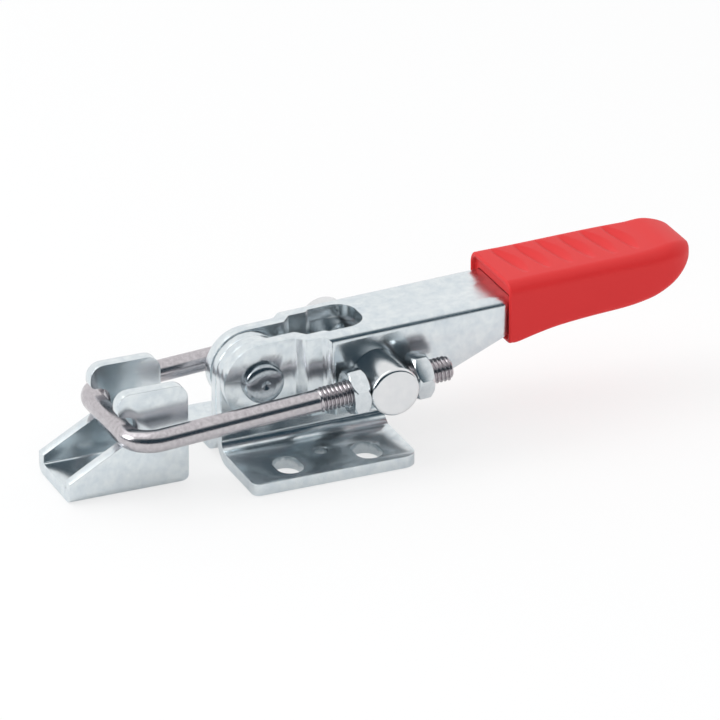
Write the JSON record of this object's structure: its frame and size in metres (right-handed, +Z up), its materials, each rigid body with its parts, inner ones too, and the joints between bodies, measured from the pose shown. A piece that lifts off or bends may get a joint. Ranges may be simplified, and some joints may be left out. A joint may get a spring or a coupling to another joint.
{
  "type": "over centre toggle latch",
  "caption": "Steel pull-action toggle latch with a slotted base, threaded U-bolt, hook keeper and a lever with a soft red grip.",
  "frame": {"origin": "on the mounting face, at the middle of the four slots in the base", "axes": "+X across the latch, +Y from the keeper towards the grip, +Z up from the mounting face"},
  "size_m": [0.0462, 0.1602, 0.0379],
  "materials": {
    "zinc_sheet": "bright zinc plated sheet steel, smooth and mirror-like with soft edges",
    "zinc_rod": "bright zinc plated rod with a rolled thread",
    "zinc_nut": "bright zinc plated, smooth",
    "turned_steel": "turned and bright zinc plated",
    "rivet_steel": "formed rivet head, slightly duller than the sheet",
    "red_grip": "soft satin red plastic"
  },
  "bodies": {
    "base": {"base_near_half": "zinc_sheet", "base_far_half": "zinc_sheet", "pivot_rivet": "rivet_steel", "keeper": "zinc_sheet"},
    "lever": {"handle_channel": "zinc_sheet", "grip": "red_grip"},
    "pull_bolt": {"trunnion": "turned_steel", "u_bolt": "zinc_rod", "nut_near_front": "zinc_nut", "nut_near_rear": "zinc_nut", "nut_far_front": "zinc_nut", "nut_far_rear": "zinc_nut"}
  },
  "joints": [
    {"name": "lever_hinge", "type": "hinge", "parent": "base", "child": "lever", "pos_m": [0, -0.012, 0.0203], "axis": [1, 0, 0], "range_deg": [0, 90]},
    {"name": "trunnion_hinge", "type": "hinge", "parent": "lever", "child": "pull_bolt", "pos_m": [0, 0.01495, 0.01948], "axis": [1, 0, 0], "range_deg": [-57, 0]}
  ],
  "couplings": [
    {"joint": "trunnion_hinge", "follows": "lever_hinge", "ratio": -0.63}
  ]
}
